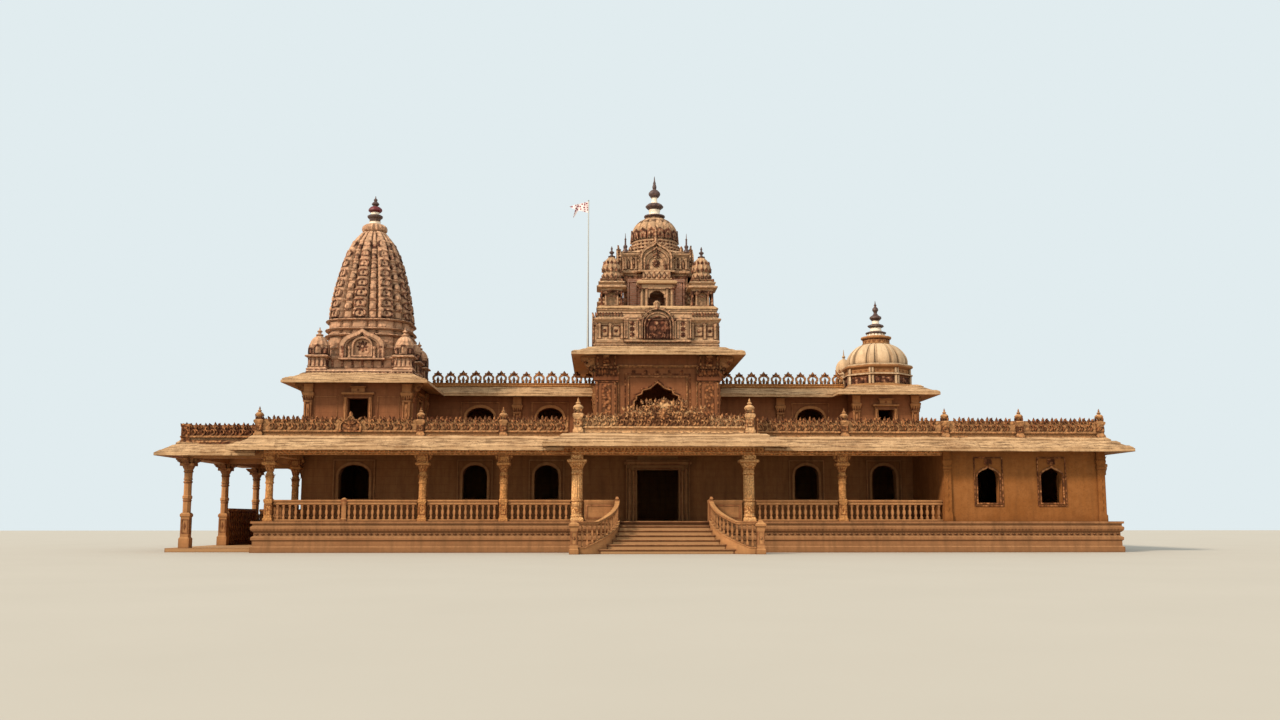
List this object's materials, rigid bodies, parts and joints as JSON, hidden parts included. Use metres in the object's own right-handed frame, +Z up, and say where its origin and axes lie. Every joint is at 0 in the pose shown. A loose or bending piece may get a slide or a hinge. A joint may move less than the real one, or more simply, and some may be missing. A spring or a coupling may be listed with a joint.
{
  "type": "hindu temple",
  "caption": "Sandstone temple with a pillared verandah on a moulded plinth, and a curved spire, a tiered gate tower and a ribbed dome on its terrace.",
  "frame": {"origin": "on the plinth's flat underside at ground level, on the entrance axis, below the line of the front columns", "axes": "+X to the right along the front, +Y back into the building, +Z up"},
  "size_m": [36.9, 17.19, 16.55],
  "materials": {
    "carved_sandstone": "rough",
    "wall_sandstone": "rough",
    "eave_sandstone": "rough",
    "dome_plaster": "rough",
    "finial_paint": "satin",
    "pole_metal": "satin",
    "flag_cloth": "matt"
  },
  "bodies": {
    "root": {"plinth": "carved_sandstone", "pavilion_platform": "carved_sandstone", "stair_flight": "wall_sandstone", "stair_balustrade_left": "carved_sandstone", "stair_balustrade_right": "carved_sandstone", "corner_column": "carved_sandstone", "verandah_column_1": "carved_sandstone", "verandah_column_2": "carved_sandstone", "verandah_column_3": "carved_sandstone", "rear_column": "carved_sandstone", "porch_column_left": "carved_sandstone", "porch_column_right": "carved_sandstone", "front_beam": "wall_sandstone", "pavilion_frame": "carved_sandstone", "balustrade_1": "carved_sandstone", "balustrade_2": "carved_sandstone", "balustrade_3": "carved_sandstone", "balustrade_4": "carved_sandstone", "balustrade_5": "carved_sandstone", "balustrade_end": "carved_sandstone", "hall_front_wall_left": "wall_sandstone", "hall_front_wall_right": "wall_sandstone", "door_lintel": "wall_sandstone", "door_frame": "carved_sandstone", "hall_back_wall": "wall_sandstone", "hall_left_wall": "wall_sandstone", "hall_right_wall": "wall_sandstone", "wing_walls": "wall_sandstone", "terrace_slab": "wall_sandstone", "eave_front_left": "eave_sandstone", "eave_right_and_back": "eave_sandstone", "porch_roof": "eave_sandstone", "pavilion_roof": "eave_sandstone", "parapet_front_left": "carved_sandstone", "parapet_front_right": "carved_sandstone", "parapet_back": "carved_sandstone", "porch_parapet": "carved_sandstone", "left_block_walls": "wall_sandstone", "dome_block_walls": "wall_sandstone", "centre_block_walls": "wall_sandstone", "gallery_walls": "wall_sandstone", "upper_roof": "eave_sandstone", "centre_roof": "eave_sandstone", "crest_left": "carved_sandstone", "crest_right": "carved_sandstone", "crest_back": "carved_sandstone", "spire_platform": "carved_sandstone", "spire": "carved_sandstone", "spire_finial": "finial_paint", "gate_tier_1": "carved_sandstone", "gate_tier_2": "carved_sandstone", "gate_tier_3": "carved_sandstone", "gate_dome": "carved_sandstone", "gate_finial": "carved_sandstone", "dome_drum": "carved_sandstone", "dome": "dome_plaster", "dome_finial": "dome_plaster", "flagpole": "pole_metal", "flag": "flag_cloth"}
  },
  "joints": []
}
